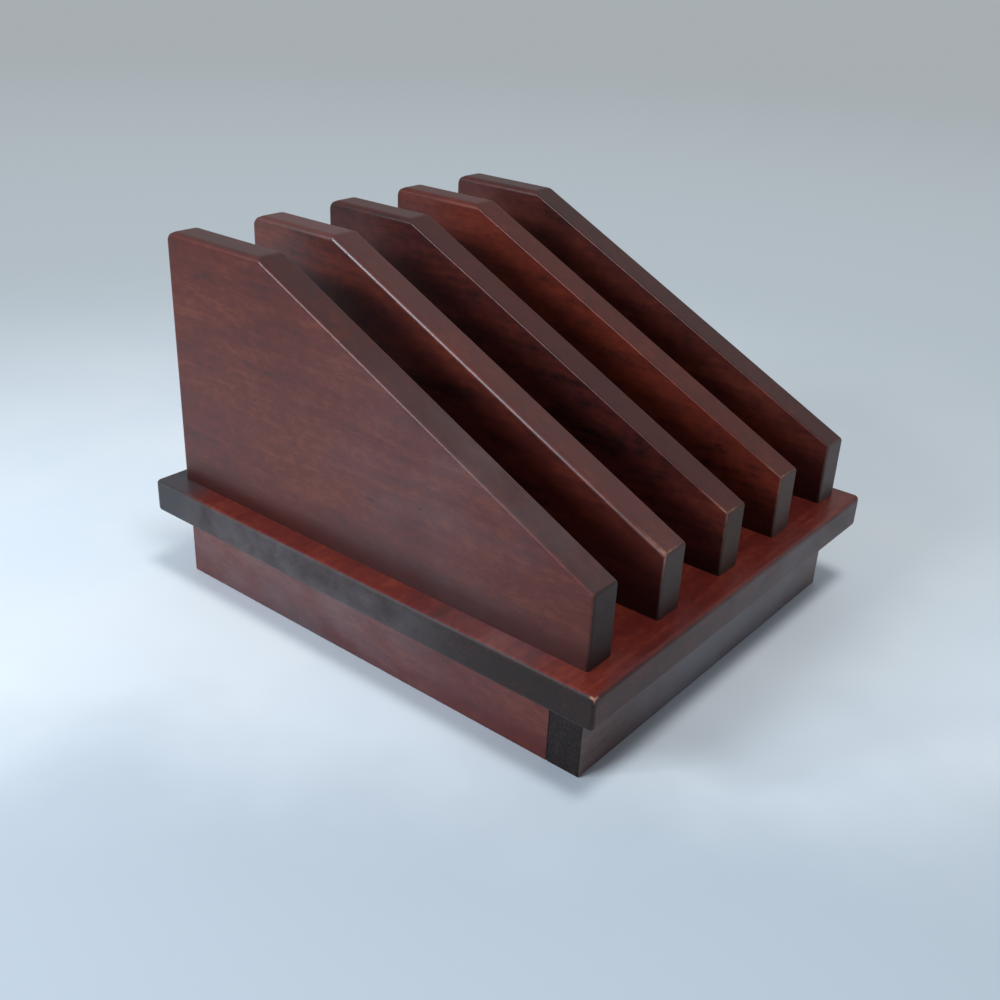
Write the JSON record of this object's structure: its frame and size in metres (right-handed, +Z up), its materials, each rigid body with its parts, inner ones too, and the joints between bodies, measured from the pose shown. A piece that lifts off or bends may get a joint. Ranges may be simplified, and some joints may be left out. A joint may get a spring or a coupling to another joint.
{
  "type": "photo album stand",
  "caption": "Wooden stand with sloping upright dividers on a base board and a plinth, for keeping photo albums upright.",
  "frame": {"origin": "middle of the base board's outline, on the surface that the plinth stands on", "axes": "+X across the row of dividers, -Y towards the dividers' low front ends, +Z up"},
  "size_m": [0.277, 0.313, 0.205],
  "materials": {
    "divider_wood": "red-brown stain under satin-gloss varnish",
    "base_board_wood": "red-brown stain under satin-gloss varnish",
    "rail_wood": "red-brown stain under satin-gloss varnish",
    "block_wood": "bare sawn wood",
    "screw_steel": "zinc plated"
  },
  "bodies": {
    "root": {"base_board": "base_board_wood", "divider_1": "divider_wood", "divider_2": "divider_wood", "divider_3": "divider_wood", "divider_4": "divider_wood", "divider_5": "divider_wood", "front_rail": "rail_wood", "right_rail": "rail_wood", "rear_rail": "rail_wood", "left_rail": "rail_wood", "corner_block_front_left": "block_wood", "corner_block_front_right": "block_wood", "corner_block_rear_right": "block_wood", "corner_block_rear_left": "block_wood", "divider_1_screw_1": "screw_steel", "divider_1_screw_2": "screw_steel", "divider_1_screw_3": "screw_steel", "divider_2_screw_1": "screw_steel", "divider_2_screw_2": "screw_steel", "divider_2_screw_3": "screw_steel", "divider_3_screw_1": "screw_steel", "divider_3_screw_2": "screw_steel", "divider_3_screw_3": "screw_steel", "divider_4_screw_1": "screw_steel", "divider_4_screw_2": "screw_steel", "divider_4_screw_3": "screw_steel", "divider_5_screw_1": "screw_steel", "divider_5_screw_2": "screw_steel", "divider_5_screw_3": "screw_steel", "block_screw_low_front_left": "screw_steel", "block_screw_high_front_left": "screw_steel", "block_screw_up_front_left": "screw_steel", "block_screw_low_front_right": "screw_steel", "block_screw_high_front_right": "screw_steel", "block_screw_up_front_right": "screw_steel", "block_screw_low_rear_right": "screw_steel", "block_screw_high_rear_right": "screw_steel", "block_screw_up_rear_right": "screw_steel", "block_screw_low_rear_left": "screw_steel", "block_screw_high_rear_left": "screw_steel", "block_screw_up_rear_left": "screw_steel"}
  },
  "joints": []
}
